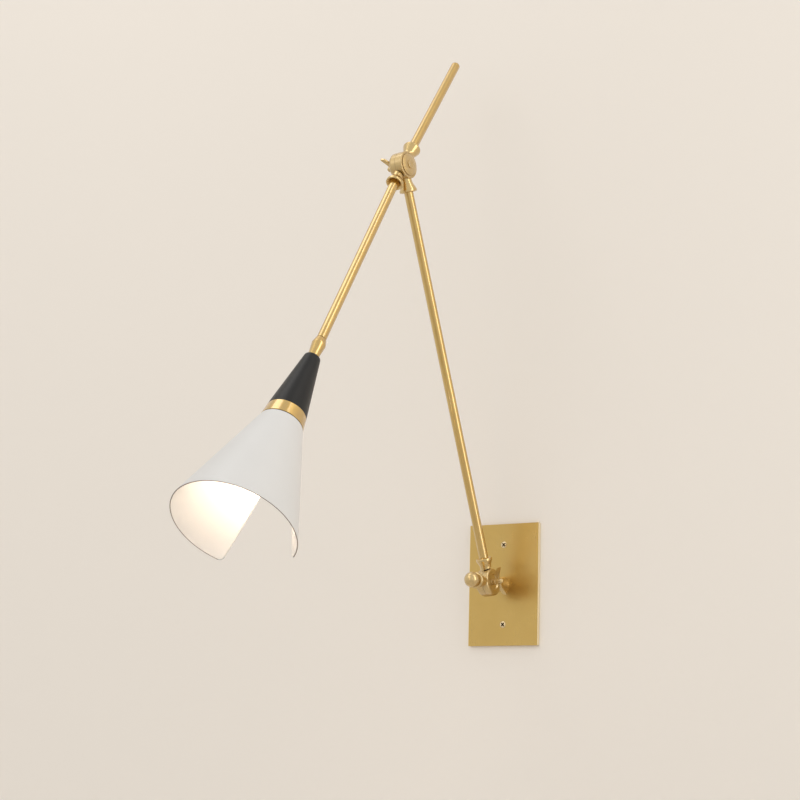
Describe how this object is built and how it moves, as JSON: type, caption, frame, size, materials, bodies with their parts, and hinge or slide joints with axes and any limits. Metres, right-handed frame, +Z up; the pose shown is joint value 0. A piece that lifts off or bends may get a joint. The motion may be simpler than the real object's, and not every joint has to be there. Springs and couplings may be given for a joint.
{
  "type": "articulated wall lamp",
  "caption": "Wall lamp with a flat plate, swivelling stem, long tilting arm, crossing rod with a tail, and a slotted conical shade on a swivel.",
  "frame": {"origin": "middle of the wall plate's back face, on the wall", "axes": "+X to the right seen from the room, -Y out of the wall into the room, +Z up"},
  "size_m": [0.1181, 0.508, 0.6255],
  "materials": {
    "satin_brass": "satin",
    "polished_brass": "polished",
    "screw_brass": "satin",
    "black_paint": "matte powder coat",
    "white_paint": "smooth satin paint",
    "zinc_steel": "plated",
    "fibre_washer": "matte",
    "cable_sheath": "matte",
    "lead_sheath": "matte",
    "holder_plastic": "moulded",
    "nickel_shell": "bright",
    "contact_brass": "bare",
    "bulb_frost": "frosted inside"
  },
  "bodies": {
    "wall_plate": {"backplate": "satin_brass", "plate_screws": "screw_brass"},
    "stem": {"base_hub": "polished_brass", "stem_tube": "polished_brass", "stem_washer": "zinc_steel", "stem_locknut": "zinc_steel", "stem_cable": "cable_sheath", "finial_ring": "polished_brass", "ball_finial": "polished_brass"},
    "arm": {"arm_knuckle": "polished_brass", "arm_tube": "polished_brass", "arm_cable": "cable_sheath", "elbow_cup": "polished_brass", "base_clamp_bolt": "polished_brass", "elbow_clamp_bolt": "polished_brass", "base_friction_disc": "fibre_washer", "elbow_friction_disc": "fibre_washer"},
    "base_nut": {"base_wing_nut": "polished_brass"},
    "elbow_nut": {"elbow_wing_nut": "polished_brass"},
    "rod": {"elbow_hub": "polished_brass", "rod_tube": "polished_brass", "rod_cable": "cable_sheath", "tail_rod": "polished_brass", "tail_end_cap": "polished_brass", "swivel_stud": "polished_brass", "swivel_nut": "zinc_steel"},
    "head": {"swivel_vase": "polished_brass", "head_nipple": "zinc_steel", "head_leads": "lead_sheath", "neck_cone": "black_paint", "cone_locknut": "zinc_steel", "shade_ring": "polished_brass", "shade": "white_paint", "lampholder": "holder_plastic", "shade_nut": "holder_plastic", "holder_shell": "nickel_shell", "bulb_cap": "nickel_shell", "bulb_contact": "contact_brass", "holder_contact": "contact_brass", "bulb_glass": "bulb_frost"}
  },
  "joints": [
    {"name": "base_swivel", "type": "hinge", "parent": "wall_plate", "child": "stem", "pos_m": [0, 0, 0], "axis": [0, 1, 0], "range_deg": [-90, 90]},
    {"name": "base_pivot", "type": "hinge", "parent": "stem", "child": "arm", "pos_m": [0, -0.0305, 0], "axis": [0.998, 0, 0.0628], "range_deg": [-5, 22]},
    {"name": "elbow_pivot", "type": "hinge", "parent": "arm", "child": "rod", "pos_m": [-0.02712, -0.1657, 0.4152], "axis": [-0.998, 0, -0.0628], "range_deg": [-2, 62]},
    {"name": "shade_swivel", "type": "hinge", "parent": "rod", "child": "head", "pos_m": [-0.02762, -0.1657, 0.41517], "axis": [0.0519, -0.5621, -0.8254], "range_deg": [-170, 170]},
    {"name": "base_nut_turn", "type": "hinge", "parent": "arm", "child": "base_nut", "pos_m": [0, -0.0305, 0], "axis": [0.998, 0, 0.0628], "range_deg": [0, 180]},
    {"name": "elbow_nut_turn", "type": "hinge", "parent": "arm", "child": "elbow_nut", "pos_m": [-0.02712, -0.1657, 0.4152], "axis": [0.998, 0, 0.0628], "range_deg": [0, 180]}
  ]
}
